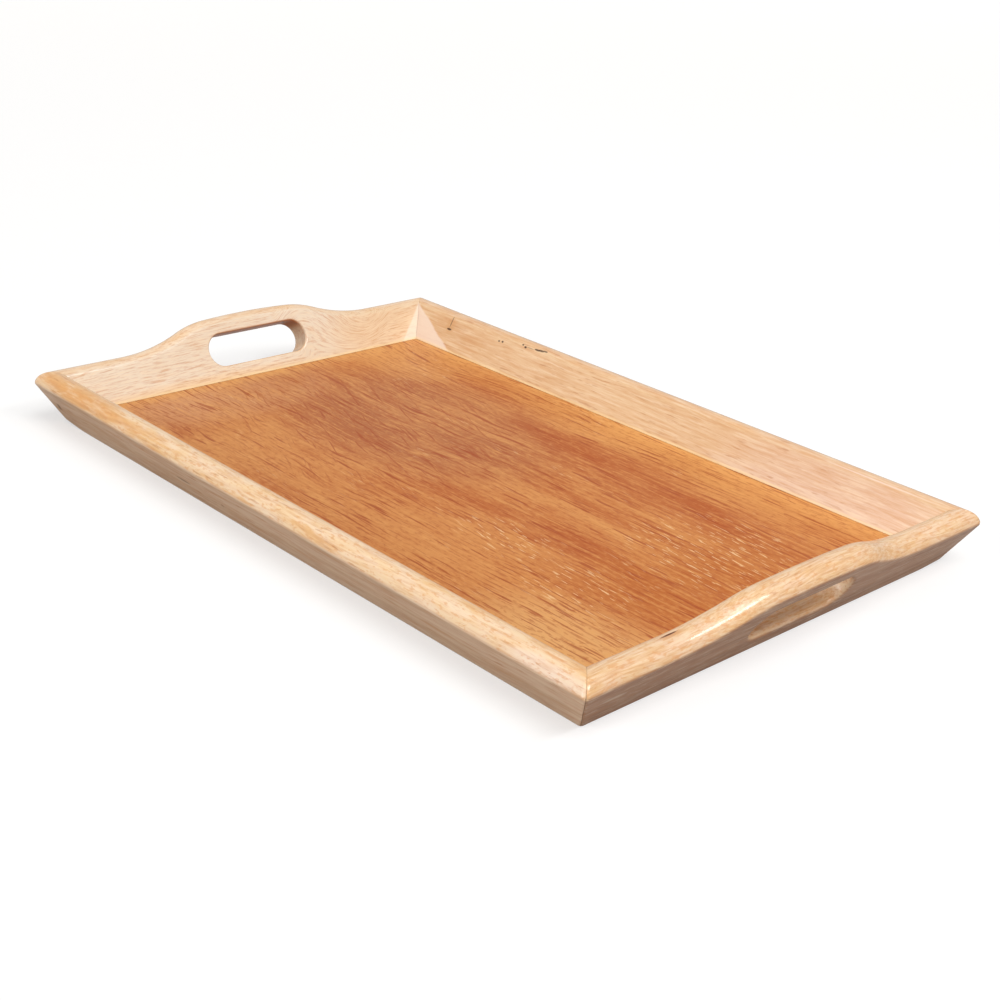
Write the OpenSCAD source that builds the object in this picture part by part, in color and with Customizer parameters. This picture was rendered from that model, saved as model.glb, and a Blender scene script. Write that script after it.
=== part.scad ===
// Serving tray: four leaning rails, mitred and dowelled at the corners, hold a veneered
// plywood floor in their grooves. Each end rail rises into a handle with a hand slot.
// Origin: middle of the footprint, on the table. X along the tray, Y towards the back, Z up.

/* [Tray] */
// Length over the rims, at the corners
rim_l = 613; // [520:1:700]
// Width over the rims
rim_w = 406; // [350:1:480]

/* [Rails] */
// Thickness of the rail stock
rail_t = 20; // [18:0.5:20.5]
// Height of a rail, measured up its slope
rail_h = 40; // [39:0.5:46]
// Lean of the rails, in degrees above the table
rail_lean = 61; // [57:0.5:70]
// Radius of the rounded top edge
crown_r = 12; // [12:0.5:14]
// Distance of the top edge's middle from the outer face
crown_mid = 9; // [9:0.5:10.5]
// Rounding between the top edge and the outer face
crown_out = 3; // [2:0.5:4]
// Rounding between the top edge and the inner face
crown_in = 4; // [2:0.5:4]

/* [Handles] */
// Rise of a handle's crest above the rail, measured up the slope
crest_rise = 18.5; // [17:0.5:24]
// Radius of the long arc along the crest
crest_r = 740; // [600:10:1200]
// Half the length of that arc
crest_half = 43; // [36:1:46]
// Radius of the shoulders on either side of the crest
shoulder_r = 88; // [70:1:100]
// Radius of the hollows that run down to the straight rail
hollow_r = 155; // [130:5:180]

/* [Hand slots] */
// Length of a hand slot
slot_l = 100; // [90:1:110]
// Height of a hand slot, measured up the slope
slot_h = 28; // [24:1:30]
// Height of the slot's middle, measured up the slope
slot_mid = 28; // [27:0.5:30]
// Rounding of the slot's edge on the outside
slot_round_out = 3; // [1:0.5:4]
// Rounding of the slot's edge on the inside
slot_round_in = 2; // [1:0.5:4]

/* [Floor] */
// Height of the floor's top face above the table
floor_z = 11; // [10:0.5:12]
// Thickness of the plywood core
core_t = 3; // [2:0.5:4]
// Thickness of the veneer on each side of the core
veneer_t = 1; // [0.5:0.1:1]
// Depth of the grooves that hold the floor
groove_depth = 6; // [4:0.5:7]

/* [Dowels] */
// Diameter of the dowels across each mitre
dowel_d = 6; // [5:0.5:6]
// Length of a dowel, half in each rail
dowel_l = 20; // [16:1:20]
// Height of the lower dowel, measured up the slope
dowel_low = 11; // [11:0.5:14]
// Height of the upper dowel, measured up the slope
dowel_high = 27; // [22:0.5:28]

/* [Hidden] */
$fn = 96;

rail_color = [0.95, 0.84, 0.68];
veneer_color = [0.78, 0.52, 0.36];
core_color = [0.86, 0.74, 0.58];
dowel_color = [0.88, 0.76, 0.58];

// The top edge of every rail is one arc, with a rounding where it meets each face.
// The roundings' centres, measured up the slope from the arc's centre
out_rise = sqrt(pow(crown_r - crown_out, 2) - pow(crown_mid - crown_out, 2));
in_rise = sqrt(pow(crown_r - crown_in, 2) - pow(rail_t - crown_in - crown_mid, 2));
// Where the arc ends, as angles from straight up the slope
out_end = -atan2(crown_mid - crown_out, out_rise);
in_end = atan2(rail_t - crown_in - crown_mid, in_rise);
// How far the rim stands out past the rail's bottom edge
rim_reach = (rail_h - crown_r + out_rise) * cos(rail_lean) + crown_out * (1 - sin(rail_lean));
base_l = rim_l - 2 * rim_reach;
base_w = rim_w - 2 * rim_reach;
// Length of stock that passes under the table before the bottom is cut level
foot = rail_t / tan(rail_lean) + 1;

// The handle's outline is three arcs a side, each tangent to the next.
crest_a = asin(crest_half / crest_r);
flank_a = acos(1 - (crest_rise - (crest_r - shoulder_r) * (1 - cos(crest_a))) / (hollow_r + shoulder_r));
crest_y = rail_h + crest_rise - crest_r;
shoulder_x = (crest_r - shoulder_r) * sin(crest_a);
shoulder_y = crest_y + (crest_r - shoulder_r) * cos(crest_a);
handle_half = shoulder_x + (shoulder_r + hollow_r) * sin(flank_a);
// Steps along each of the handle's arcs, and around the top edge and its roundings
arc_steps = 9;
crown_steps = 10;
round_steps = 5;

// Rails' faces at the floor, and the floor's edge in the grooves
gap = 0.1;
edge_gap = 0.3;
floor_t = core_t + 2 * veneer_t;
groove_end = (floor_z * cos(rail_lean) - rail_t) / sin(rail_lean) + groove_depth;
floor_l = base_l + 2 * (groove_end - edge_gap);
floor_w = base_w + 2 * (groove_end - edge_gap);

// Dowels sit nearer the inner face, because their far ends run towards the outer face.
dowel_depth = 0.625 * rail_t;
dowel_fit = 0.02;
hole_end = 0.5;
dowel_chamfer = 0.8;
flutes = 8;
flute_r = 0.35;
// Overshoot of a cutter past the face that it cuts
over = 1;

// ---- frames ----

// A rail's own frame: X along the rail, Y outward, Z up, from its bottom outer edge
module at_rail(turn, half_span)
    rotate([0, 0, turn]) translate([0, half_span, 0]) children();

// A rail's outer face: X along the rail, Y up the slope, Z into the stock
module on_slope()
    rotate([rail_lean, 0, 0]) children();

// Turns an outline drawn up the slope and into the stock so that it runs along the rail
module along(from, to)
    translate([from, 0, 0]) rotate([90, 0, 90]) linear_extrude(to - from) children();

module both_ways()
    for (side = [0, 1])
        mirror([side, 0, 0]) children();

// ---- rail stock ----

// Points round an arc, from its start or from the step after it
function arc(centre, r, from, to, steps, first = 0) = [
    for (i = [first : steps])
        let (a = from + (to - from) * i / steps)
            centre + r * [cos(a), sin(a)]
];

// The rounded top edge from the outer face to the inner: [up the slope from the arc's centre, into the stock]
crown = concat(
    arc([out_rise, crown_out], crown_out, -90, out_end, round_steps),
    arc([0, crown_mid], crown_r, out_end, in_end, crown_steps, 1),
    arc([in_rise, rail_t - crown_in], crown_in, in_end, 90, round_steps, 1)
);

// Cross-section: X up the slope, Y into the stock
module rail_section(bottom, top)
    polygon(concat(
        [[bottom, 0]],
        [for (p = crown) [top - crown_r + p[0], p[1]]],
        [[bottom, rail_t]]
    ));

// Keeps what lies above the table and between the two 45 degree mitres
module between_mitres(half) {
    outward = rim_reach + crest_rise;
    inward = rail_t / sin(rail_lean) + over;
    linear_extrude(rail_h + crest_rise + rail_t)
        polygon([
            [-half - outward, outward], [half + outward, outward],
            [half - inward, -inward], [-half + inward, -inward]
        ]);
}

module groove(half)
    translate([-half, -rail_t - groove_end - 2 * groove_depth, floor_z - floor_t - gap])
        cube([2 * half, rail_t + 2 * groove_end + 2 * groove_depth, floor_t + 2 * gap]);

// A place in the section: q up the slope, at the dowels' depth
function dowel_y(q) = q * cos(rail_lean) - dowel_depth * sin(rail_lean);
function dowel_z(q) = q * sin(rail_lean) + dowel_depth * cos(rail_lean);

module dowel_holes(half)
    both_ways()
        for (q = [dowel_low, dowel_high])
            translate([half + dowel_y(q), dowel_y(q), dowel_z(q)])
                rotate([0, 90, 135])
                    translate([0, 0, -over])
                        cylinder(d = dowel_d, h = over + dowel_l / 2 + hole_end);

// ---- long rails ----

module long_rail() {
    half = base_l / 2;
    reach = half + rim_reach + over;
    difference() {
        intersection() {
            on_slope() along(-reach, reach) rail_section(-foot, rail_h);
            between_mitres(half);
        }
        groove(half);
        dowel_holes(half);
    }
}

// ---- handle rails ----

// Stations along the top edge, to the right of the crest: [along, up the slope, lean of the edge]
function convex_stations(x, y, r, from, to) = [
    for (i = [1 : arc_steps])
        let (a = from + (to - from) * i / arc_steps)
            [x + r * sin(a), y + r * cos(a), a]
];
function hollow_stations() = [
    for (i = [1 : arc_steps])
        let (a = flank_a * (1 - i / arc_steps))
            [handle_half - hollow_r * sin(a), rail_h + hollow_r * (1 - cos(a)), a]
];
function right_stations(reach) = concat(
    convex_stations(0, crest_y, crest_r, 0, crest_a),
    convex_stations(shoulder_x, shoulder_y, shoulder_r, crest_a, flank_a),
    hollow_stations(),
    [[reach, rail_h, 0]]
);
function mirrored(stations) = [
    for (i = [len(stations) - 1 : -1 : 0])
        [-stations[i][0], stations[i][1], -stations[i][2]]
];
function all_stations(reach) = concat(
    mirrored(right_stations(reach)), [[0, rail_h + crest_rise, 0]], right_stations(reach)
);

// The stock's cross-section at a station, with its rounded edge square to the handle's outline
function ring(station) =
    let (
        lean = station[2],
        x = station[0] - crown_r * sin(lean),
        y = station[1] - crown_r * cos(lean)
    )
    concat(
        [[x + crown[0][0] * sin(lean), -foot, 0]],
        [for (p = crown) [x + p[0] * sin(lean), y + p[0] * cos(lean), p[1]]],
        [[x + crown[len(crown) - 1][0] * sin(lean), -foot, rail_t]]
    );

// The handle rail's stock: one ring for each station, joined side by side
module handle_stock(reach) {
    rings = [for (station = all_stations(reach)) ring(station)];
    n = len(rings[0]);
    last = len(rings) - 1;
    polyhedron(
        points = [for (r = rings) each r],
        faces = concat(
            [[for (i = [0 : n - 1]) i]],
            [for (k = [0 : last - 1], i = [0 : n - 1])
                [k * n + i, (k + 1) * n + i, (k + 1) * n + (i + 1) % n, k * n + (i + 1) % n]],
            [[for (i = [n - 1 : -1 : 0]) last * n + i]]
        )
    );
}

// Half the slot's cross-section: X from the slot's middle, Y into the stock
module slot_section() {
    r = slot_h / 2;
    difference() {
        union() {
            translate([0, -over])
                square([r, rail_t + 2 * over]);
            translate([0, -over])
                square([r + slot_round_out, over + slot_round_out]);
            translate([0, rail_t - slot_round_in])
                square([r + slot_round_in, slot_round_in + over]);
        }
        translate([r + slot_round_out, slot_round_out])
            circle(slot_round_out);
        translate([r + slot_round_in, rail_t - slot_round_in])
            circle(slot_round_in);
    }
}

module hand_slot() {
    end = (slot_l - slot_h) / 2;
    translate([0, slot_mid, 0]) {
        along(-end, end) both_ways() slot_section();
        both_ways()
            translate([end, 0, 0])
                rotate([0, 0, -90])
                    rotate_extrude(angle = 180) slot_section();
    }
}

module handle_rail() {
    half = base_w / 2;
    difference() {
        intersection() {
            on_slope() handle_stock(half + rim_reach + over);
            between_mitres(half);
        }
        on_slope() hand_slot();
        groove(half);
        dowel_holes(half);
    }
}

// ---- floor ----

module floor_sheet(top, thickness)
    translate([-floor_l / 2, -floor_w / 2, top - thickness])
        cube([floor_l, floor_w, thickness]);

// ---- dowels ----

// A fluted dowel with chamfered ends, centred on its own length
module dowel() {
    r = dowel_d / 2 - dowel_fit;
    color(dowel_color)
        difference() {
            union() {
                cylinder(r = r, h = dowel_l - 2 * dowel_chamfer, center = true);
                for (up = [0, 1])
                    mirror([0, 0, up])
                        translate([0, 0, dowel_l / 2 - dowel_chamfer])
                            cylinder(r1 = r, r2 = r - dowel_chamfer, h = dowel_chamfer);
            }
            for (i = [0 : flutes - 1])
                rotate([0, 0, i * 360 / flutes])
                    translate([r, 0, 0])
                        cylinder(r = flute_r, h = dowel_l + over, center = true);
        }
}

// side_x is -1 on the left and 1 on the right, side_y is -1 in front and 1 at the back
module corner_dowel(side_x, side_y, q)
    translate([side_x * (base_l / 2 + dowel_y(q)), side_y * (base_w / 2 + dowel_y(q)), dowel_z(q)])
        rotate([0, 90, -45 * side_x * side_y]) dowel();

// ---- pieces in place ----

module front_rail() color(rail_color) at_rail(180, base_w / 2) long_rail();
module back_rail() color(rail_color) at_rail(0, base_w / 2) long_rail();
module left_handle_rail() color(rail_color) at_rail(90, base_l / 2) handle_rail();
module right_handle_rail() color(rail_color) at_rail(-90, base_l / 2) handle_rail();

module floor_face_veneer() color(veneer_color) floor_sheet(floor_z, veneer_t);
module floor_core() color(core_color) floor_sheet(floor_z - veneer_t, core_t);
module floor_back_veneer() color(core_color) floor_sheet(floor_z - veneer_t - core_t, veneer_t);

front_rail();
back_rail();
left_handle_rail();
right_handle_rail();
floor_face_veneer();
floor_core();
floor_back_veneer();
corner_dowel(-1, -1, dowel_low);  // dowel_front_left_low
corner_dowel(-1, -1, dowel_high);  // dowel_front_left_high
corner_dowel(1, -1, dowel_low);  // dowel_front_right_low
corner_dowel(1, -1, dowel_high);  // dowel_front_right_high
corner_dowel(-1, 1, dowel_low);  // dowel_back_left_low
corner_dowel(-1, 1, dowel_high);  // dowel_back_left_high
corner_dowel(1, 1, dowel_low);  // dowel_back_right_low
corner_dowel(1, 1, dowel_high);  // dowel_back_right_high
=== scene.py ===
"""Serving tray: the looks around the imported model, in metres and in its frame."""
import math

import bmesh
import bpy
from mathutils import Matrix, Vector, noise


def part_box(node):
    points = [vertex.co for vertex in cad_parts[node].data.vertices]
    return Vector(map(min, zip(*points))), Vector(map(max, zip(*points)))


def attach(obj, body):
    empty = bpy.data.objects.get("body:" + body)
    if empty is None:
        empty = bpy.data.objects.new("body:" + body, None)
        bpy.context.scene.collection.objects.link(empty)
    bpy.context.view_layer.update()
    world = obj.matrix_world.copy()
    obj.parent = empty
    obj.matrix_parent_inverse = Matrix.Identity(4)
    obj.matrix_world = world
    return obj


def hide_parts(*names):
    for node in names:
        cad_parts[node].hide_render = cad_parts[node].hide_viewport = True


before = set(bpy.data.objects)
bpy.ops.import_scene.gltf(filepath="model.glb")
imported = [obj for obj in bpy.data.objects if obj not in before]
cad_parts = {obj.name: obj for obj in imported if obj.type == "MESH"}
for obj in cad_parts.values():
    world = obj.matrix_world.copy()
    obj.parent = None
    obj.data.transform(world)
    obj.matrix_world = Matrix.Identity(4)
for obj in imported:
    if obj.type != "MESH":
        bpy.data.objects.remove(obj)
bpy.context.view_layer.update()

MM = 0.001

# ---- the rails' sizes ----

LEAN = math.radians(61)
STOCK = 20 * MM
SLOPE = 40 * MM
CROWN_R = 12 * MM
CROWN_MID = 9 * MM
CROWN_OUT = 3 * MM
CROWN_IN = 4 * MM
CREST_RISE = 18.5 * MM
CREST_R = 740 * MM
CREST_HALF = 43 * MM
SHOULDER_R = 88 * MM
HOLLOW_R = 155 * MM
SLOT_L = 100 * MM
SLOT_H = 28 * MM
SLOT_MID = 28 * MM
SLOT_ROUND_OUT = 3 * MM
SLOT_ROUND_IN = 2 * MM
# The slot's cutter stands out of the faces and clears them, for a clean cut
SLOT_PROUD = 2 * MM
SLOT_FLARE = 0.4 * MM
SLOT_CLEAR = 0.01 * MM
# The split in the right rail's crown: its two ends along the rail, its place in the section,
# its depth (along, outward, up) and its width
SPLIT_ENDS = (130 * MM, 112 * MM)
SPLIT_SECTION = (37.5 * MM, 16.2 * MM)
SPLIT_DEPTH = (0, 0.26 * MM, -1.9 * MM)
SPLIT_WIDTH = 1.1 * MM
GROOVE_DEPTH = 6 * MM
GROOVE_GAP = 0.1 * MM
DOWEL_R = 3 * MM
DOWEL_DEPTH = 0.625 * STOCK
DOWEL_HEIGHTS = (11 * MM, 27 * MM)
DOWEL_HOLE = 10.5 * MM
DOWEL_PROUD = 2 * MM

# The crown's roundings: their centres above the crown's own, and where its arc ends
OUT_RISE = math.sqrt((CROWN_R - CROWN_OUT) ** 2 - (CROWN_MID - CROWN_OUT) ** 2)
IN_RISE = math.sqrt((CROWN_R - CROWN_IN) ** 2 - (STOCK - CROWN_IN - CROWN_MID) ** 2)
OUT_END = -math.atan2(CROWN_MID - CROWN_OUT, OUT_RISE)
IN_END = math.atan2(STOCK - CROWN_IN - CROWN_MID, IN_RISE)
# How far the rim stands out past the rail's bottom edge
RIM_REACH = (SLOPE - CROWN_R + OUT_RISE) * math.cos(LEAN) + CROWN_OUT * (1 - math.sin(LEAN))

# Easing of the arrises, and of the corners in plan
BOTTOM_EASE = 1.1 * MM
INNER_EASE = 0.8 * MM
GROOVE_EASE = 0.15 * MM
CORNER_LOW = 2.4 * MM
CORNER_OUT = 1.4 * MM
CORNER_TOP = 4.0 * MM
CORNER_IN = 0.4 * MM
LOW_REACH = 10 * MM
SANDED_REACH = 34 * MM
SANDED_HIGH = 9 * MM
SANDED_DEEP = 14 * MM
PLAIN_END = 22 * MM
# How far the rails' crests stay under the CAD's, and the fine groove at a mitre
SHY = 0.03 * MM
SEAM_WIDTH = 0.3 * MM
SEAM_DEPTH = 0.12 * MM
MITRE_GAP = 0.02 * MM

# Steps along curves, and the angle from which an arris stays sharp
CROWN_STEPS = 20
EASE_STEPS = 8
ARC_STEPS = 26
CORNER_STEPS = 7
SLOT_STEPS = 24
ROUND_STEPS = 8
GROOVE_STEPS = 2
INNER_STEPS = 4
BOTTOM_STEPS = 6
STRAIGHT_STATIONS = 25
END_STATIONS = 5
SPLIT_STEPS = 8
DOWEL_SIDES = 32
SHARP = math.radians(32)
WELD = 0.002 * MM

front_low, front_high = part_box("front_rail")
BASE_HALF_L = front_high.x - RIM_REACH
BASE_HALF_W = -front_low.y - RIM_REACH
FLOOR_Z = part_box("floor_face_veneer")[1].z
FLOOR_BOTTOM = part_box("floor_back_veneer")[0].z
GROOVE_END = (FLOOR_Z * math.cos(LEAN) - STOCK) / math.sin(LEAN) + GROOVE_DEPTH


# ---- small helpers ----

def to_section(u, z):
    """From outward and up, to up the slope and into the stock."""
    q = u * math.cos(LEAN) + z * math.sin(LEAN)
    return Vector((q, z * math.cos(LEAN) - u * math.sin(LEAN)))


def from_section(q, d):
    """From up the slope and into the stock, to outward and up."""
    return q * math.cos(LEAN) - d * math.sin(LEAN), q * math.sin(LEAN) + d * math.cos(LEAN)


def inner_face(z):
    """The place on the inner face at height z."""
    return Vector(((z - STOCK * math.cos(LEAN)) / math.sin(LEAN), STOCK))


def eased(before, corner, after, radius, steps):
    """An arc of the given radius in place of a corner."""
    a = (before - corner).normalized()
    b = (after - corner).normalized()
    half = a.angle(b) / 2
    centre = corner + (a + b).normalized() * (radius / math.sin(half))
    start = corner + a * (radius / math.tan(half)) - centre
    end = corner + b * (radius / math.tan(half)) - centre
    return [centre + start.lerp(end, i / steps).normalized() * radius for i in range(steps + 1)]


def new_object(name, mesh):
    made = bpy.data.objects.new(name, mesh)
    bpy.context.scene.collection.objects.link(made)
    return made


def mesh_from(name, verts, faces):
    mesh = bpy.data.meshes.new(name)
    mesh.from_pydata([tuple(v) for v in verts], [], faces)
    bm = bmesh.new()
    bm.from_mesh(mesh)
    bmesh.ops.recalc_face_normals(bm, faces=bm.faces)
    bm.to_mesh(mesh)
    bm.free()
    return mesh


def tube_faces(rings, length, closed_ends=True):
    """Faces between rings of equal length, joined side by side, with a cap on each end."""
    faces = []
    for k in range(rings - 1):
        for i in range(length):
            j = (i + 1) % length
            this, after = k * length, (k + 1) * length
            faces.append((this + i, after + i, after + j, this + j))
    if closed_ends:
        faces.append(tuple(range(length)))
        faces.append(tuple((rings - 1) * length + i for i in reversed(range(length))))
    return faces


def cut(piece, cutter):
    """Takes the cutter's volume out of the piece, and removes the cutter."""
    modifier = piece.modifiers.new("cut", "BOOLEAN")
    modifier.operation = "DIFFERENCE"
    modifier.solver = "EXACT"
    modifier.object = cutter
    bpy.context.view_layer.update()
    graph = bpy.context.evaluated_depsgraph_get()
    result = bpy.data.meshes.new_from_object(piece.evaluated_get(graph))
    piece.modifiers.clear()
    piece.data = result
    bpy.data.objects.remove(cutter)


def finish_surface(piece):
    """Merges what a cut leaves behind, and shades smooth between sharp arrises."""
    bm = bmesh.new()
    bm.from_mesh(piece.data)
    bmesh.ops.remove_doubles(bm, verts=bm.verts, dist=WELD)
    bmesh.ops.dissolve_degenerate(bm, edges=bm.edges, dist=WELD)
    bmesh.ops.recalc_face_normals(bm, faces=bm.faces)
    bm.to_mesh(piece.data)
    bm.free()
    piece.data.polygons.foreach_set("use_smooth", [True] * len(piece.data.polygons))
    piece.data.set_sharp_from_angle(angle=SHARP)
    weighted = piece.modifiers.new("even shading", "WEIGHTED_NORMAL")
    weighted.keep_sharp = True
    weighted.weight = 80


# ---- the rail's section ----

def lower_loop():
    """The section below the nose, from the inner face, round the groove, to the outer face."""
    groove_top = FLOOR_Z + GROOVE_GAP
    groove_bottom = FLOOR_BOTTOM - GROOVE_GAP
    top_in = inner_face(groove_top)
    top_end = to_section(GROOVE_END, groove_top)
    bottom_end = to_section(GROOVE_END, groove_bottom)
    bottom_in = inner_face(groove_bottom)
    heel = inner_face(0)
    toe = Vector((0, 0))
    face = Vector((SLOPE / 2, STOCK))
    outer = Vector((SLOPE / 2, 0))
    return (
        eased(face, top_in, top_end, GROOVE_EASE, GROOVE_STEPS)
        + [top_end, bottom_end]
        + eased(bottom_end, bottom_in, heel, GROOVE_EASE, GROOVE_STEPS)
        + eased(bottom_in, heel, toe, INNER_EASE, INNER_STEPS)
        + eased(heel, toe, outer, BOTTOM_EASE, BOTTOM_STEPS)
    )


LOWER = lower_loop()


def clamped(value):
    return max(0.0, min(1.0, value))


def arc(rise, depth, radius, start, end, steps, first=0):
    """Points round an arc, as (up from the crown's centre, into the stock)."""
    angles = [start + (end - start) * i / steps for i in range(first, steps + 1)]
    return [(rise + radius * math.cos(a), depth + radius * math.sin(a)) for a in angles]


CROWN = (
    arc(OUT_RISE, CROWN_OUT, CROWN_OUT, -math.pi / 2, OUT_END, EASE_STEPS)
    + arc(0, CROWN_MID, CROWN_R, OUT_END, IN_END, CROWN_STEPS, 1)
    + arc(IN_RISE, STOCK - CROWN_IN, CROWN_IN, IN_END, math.pi / 2, EASE_STEPS, 1)
)


def ring(along, height, lean):
    """The section at a station, as (along, up the slope, into the stock)."""
    x = along - CROWN_R * math.sin(lean)
    q = height - CROWN_R * math.cos(lean)
    points = []
    for rise, depth in CROWN:
        points.append((x + rise * math.sin(lean), q + rise * math.cos(lean), depth))
    inner = x + CROWN[-1][0] * math.sin(lean)
    outer = x + CROWN[0][0] * math.sin(lean)
    return points + [(inner + (outer - inner) * (1 - p.y / STOCK), p.x, p.y) for p in LOWER]


def corner_radius(q, d, height):
    """Rounding in plan: most low down and over the crown, least on the inner face."""
    low = clamped(1 - q / LOW_REACH)
    top = clamped((q - (height - CROWN_OUT - CORNER_TOP)) / CROWN_OUT)
    outside = CORNER_OUT + (CORNER_LOW - CORNER_OUT) * low ** 2
    outside += (CORNER_TOP - CORNER_OUT) * top
    side = clamped(d / STOCK)
    return outside * (1 - side) + CORNER_IN * side


def sanded(point, half, amount):
    """Lifts the bottom's outer edge towards a corner that has been sanded round."""
    x, u, z = point
    near = clamped(1 - (half + u - abs(x)) / SANDED_REACH)
    low = clamped(1 - z / SANDED_HIGH)
    out = clamped(1 + (u - z / math.tan(LEAN)) / SANDED_DEEP)
    return x, u, z + amount * near ** 2 * low * out


def end_rings(half, height):
    """Rings from the straight rail round to the mitre, with a fine groove at the seam."""
    section = [(q, d) for _, q, d in ring(0, height, 0)]
    outlines = [from_section(q, d) for q, d in section]
    radii = [corner_radius(q, d, height) for q, d in section]
    rings = []
    for k in range(CORNER_STEPS + 1):
        a = math.pi / 4 * k / CORNER_STEPS
        points = []
        for (u, z), r in zip(outlines, radii):
            points.append((half + u - r + r * math.sin(a), u - r + r * math.cos(a), z))
        rings.append(points)
    count = len(outlines)
    last = []
    for i in range(count):
        _, u, z = rings[-1][i]
        before = rings[-1][i - 1]
        after = rings[-1][(i + 1) % count]
        tangent = Vector((after[1] - before[1], after[2] - before[2])).normalized()
        u += tangent.y * SEAM_DEPTH
        z -= tangent.x * SEAM_DEPTH
        last.append((half + u - MITRE_GAP, u, max(z, 0.0)))
    shy = [(x - SEAM_WIDTH, u, z) for x, u, z in rings[-1]]
    rings[-1] = shy
    rings.append(last)
    return rings


def handle_stations():
    """Stations along the handle's top edge, right of the crest: (along, up the slope, lean)."""
    crest_a = math.asin(CREST_HALF / CREST_R)
    drop = CREST_RISE - (CREST_R - SHOULDER_R) * (1 - math.cos(crest_a))
    flank_a = math.acos(1 - drop / (HOLLOW_R + SHOULDER_R))
    crest_q = SLOPE + CREST_RISE - CREST_R
    shoulder_x = (CREST_R - SHOULDER_R) * math.sin(crest_a)
    shoulder_q = crest_q + (CREST_R - SHOULDER_R) * math.cos(crest_a)
    half = shoulder_x + (SHOULDER_R + HOLLOW_R) * math.sin(flank_a)
    stations = []
    for i in range(1, ARC_STEPS + 1):
        a = crest_a * i / ARC_STEPS
        stations.append((CREST_R * math.sin(a), crest_q + CREST_R * math.cos(a), a))
    for i in range(1, ARC_STEPS + 1):
        a = crest_a + (flank_a - crest_a) * i / ARC_STEPS
        x = shoulder_x + SHOULDER_R * math.sin(a)
        stations.append((x, shoulder_q + SHOULDER_R * math.cos(a), a))
    for i in range(1, ARC_STEPS + 1):
        a = flank_a * (1 - i / ARC_STEPS)
        stations.append((half - HOLLOW_R * math.sin(a), SLOPE + HOLLOW_R * (1 - math.cos(a)), a))
    return stations


def middle_rings(half, handle):
    """Rings along the rail between its two ends, as (along, outward, up)."""
    reach = half - SANDED_REACH
    if handle:
        right = [s for s in handle_stations() if s[0] < reach]
        right.append((reach, SLOPE, 0))
        right = [(s, h - SHY, a) for s, h, a in right]
        left = [(-s, h, -a) for s, h, a in reversed(right)]
        stations = left + [(0, SLOPE + CREST_RISE - SHY, 0)] + right
    else:
        last = STRAIGHT_STATIONS - 1
        stations = [(reach * (2 * i / last - 1), SLOPE - SHY, 0) for i in range(last + 1)]
    for i in range(1, END_STATIONS + 1):
        close = reach + (SANDED_REACH - PLAIN_END) * i / END_STATIONS
        stations = [(-close, SLOPE - SHY, 0)] + stations + [(close, SLOPE - SHY, 0)]
    return [[(s, *from_section(q, d)) for s, q, d in ring(*station)] for station in stations]


def rail_mesh(name, half, handle, lifts):
    """A rail from mitre to mitre, in its own frame (along, outward, up)."""
    right = end_rings(half, SLOPE - SHY)
    left = [[(-x, u, z) for x, u, z in points] for points in reversed(right)]
    rings = left + middle_rings(half, handle) + right
    rings = [[sanded(p, half, lifts[p[0] > 0]) for p in points] for points in rings]
    verts = [p for points in rings for p in points]
    return mesh_from(name, verts, tube_faces(len(rings), len(rings[0])))


# ---- cutters ----

def slot_profile():
    """The slot's wall from face to face: (into the stock, flare)."""
    profile = [(-SLOT_PROUD, SLOT_ROUND_OUT + SLOT_FLARE)]
    for i in range(ROUND_STEPS + 1):
        a = math.pi / 2 * i / ROUND_STEPS
        depth = SLOT_ROUND_OUT * (1 - math.cos(a)) - SLOT_CLEAR
        profile.append((depth, SLOT_ROUND_OUT * (1 - math.sin(a))))
    for i in range(ROUND_STEPS + 1):
        a = math.pi / 2 * (1 - i / ROUND_STEPS)
        depth = STOCK - SLOT_ROUND_IN * (1 - math.cos(a)) + SLOT_CLEAR
        profile.append((depth, SLOT_ROUND_IN * (1 - math.sin(a))))
    profile.append((STOCK + SLOT_PROUD, SLOT_ROUND_IN + SLOT_FLARE))
    return profile


def slot_cutter():
    """The hand slot, flared at both faces, in the rail's own frame."""
    r = SLOT_H / 2
    profile = slot_profile()
    end = SLOT_L / 2 - r
    verts = []
    for depth, flare in profile:
        for side in (1, -1):
            for i in range(SLOT_STEPS + 1):
                a = side * math.pi / 2 - math.pi * i / SLOT_STEPS
                s = side * end + (r + flare) * math.cos(a)
                q = SLOT_MID + (r + flare) * math.sin(a)
                verts.append((s, *from_section(q, depth)))
    faces = tube_faces(len(profile), 2 * (SLOT_STEPS + 1))
    return new_object("slot_cutter", mesh_from("slot_cutter", verts, faces))


def dowel_cutter(half, side, height):
    """One blind dowel hole, square to the mitre, in the rail's own frame."""
    bm = bmesh.new()
    bmesh.ops.create_cone(
        bm, cap_ends=True, segments=DOWEL_SIDES, radius1=DOWEL_R, radius2=DOWEL_R,
        depth=DOWEL_HOLE + DOWEL_PROUD)
    u, z = from_section(height, DOWEL_DEPTH)
    centre = Vector((0, 0, (DOWEL_HOLE - DOWEL_PROUD) / 2))
    turn = Matrix.Rotation(math.radians(135), 4, "Z") @ Matrix.Rotation(math.radians(90), 4, "Y")
    place = Matrix.Translation((half + u, u, z))
    bm.transform(place @ turn @ Matrix.Translation(centre))
    if side < 0:
        bm.transform(Matrix.Scale(-1, 4, (1, 0, 0)))
        bmesh.ops.reverse_faces(bm, faces=bm.faces)
    mesh = bpy.data.meshes.new("dowel_cutter")
    bm.to_mesh(mesh)
    bm.free()
    return new_object("dowel_cutter", mesh)


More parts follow.
